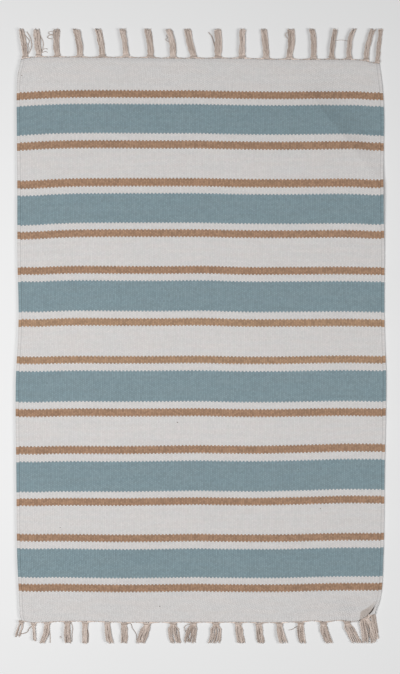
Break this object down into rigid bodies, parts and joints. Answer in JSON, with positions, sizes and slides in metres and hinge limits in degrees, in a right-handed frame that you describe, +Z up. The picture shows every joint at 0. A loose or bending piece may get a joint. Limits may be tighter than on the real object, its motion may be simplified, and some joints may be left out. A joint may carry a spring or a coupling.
{
  "type": "kilim rug",
  "caption": "Small flat-woven cotton rug with grey-blue and tan stripes on off-white, its warp ends knotted into tassels along both short ends.",
  "frame": {"origin": "middle of the rug, on the surface that it lies on", "axes": "+X across the width, +Y along the length, +Z up out of the face that shows"},
  "size_m": [0.6077, 1.007, 0.009],
  "materials": {
    "woven_cotton": "matt weft-faced cotton weave, off-white with grey-blue and tan stripes",
    "warp_cotton": "plied natural cotton yarn, unbleached"
  },
  "bodies": {
    "root": {"cloth": "woven_cotton", "top_tassel_01": "warp_cotton", "top_tassel_02": "warp_cotton", "top_tassel_03": "warp_cotton", "top_tassel_04": "warp_cotton", "top_tassel_05": "warp_cotton", "top_tassel_06": "warp_cotton", "top_tassel_07": "warp_cotton", "top_tassel_08": "warp_cotton", "top_tassel_09": "warp_cotton", "top_tassel_10": "warp_cotton", "top_tassel_11": "warp_cotton", "top_tassel_12": "warp_cotton", "top_tassel_13": "warp_cotton", "top_tassel_14": "warp_cotton", "top_tassel_15": "warp_cotton", "top_tassel_16": "warp_cotton", "top_tassel_17": "warp_cotton", "top_tassel_18": "warp_cotton", "bottom_tassel_01": "warp_cotton", "bottom_tassel_02": "warp_cotton", "bottom_tassel_03": "warp_cotton", "bottom_tassel_04": "warp_cotton", "bottom_tassel_05": "warp_cotton", "bottom_tassel_06": "warp_cotton", "bottom_tassel_07": "warp_cotton", "bottom_tassel_08": "warp_cotton", "bottom_tassel_09": "warp_cotton", "bottom_tassel_10": "warp_cotton", "bottom_tassel_11": "warp_cotton", "bottom_tassel_12": "warp_cotton", "bottom_tassel_13": "warp_cotton", "bottom_tassel_14": "warp_cotton", "bottom_tassel_15": "warp_cotton", "bottom_tassel_16": "warp_cotton", "bottom_tassel_17": "warp_cotton", "bottom_tassel_18": "warp_cotton"}
  },
  "joints": []
}
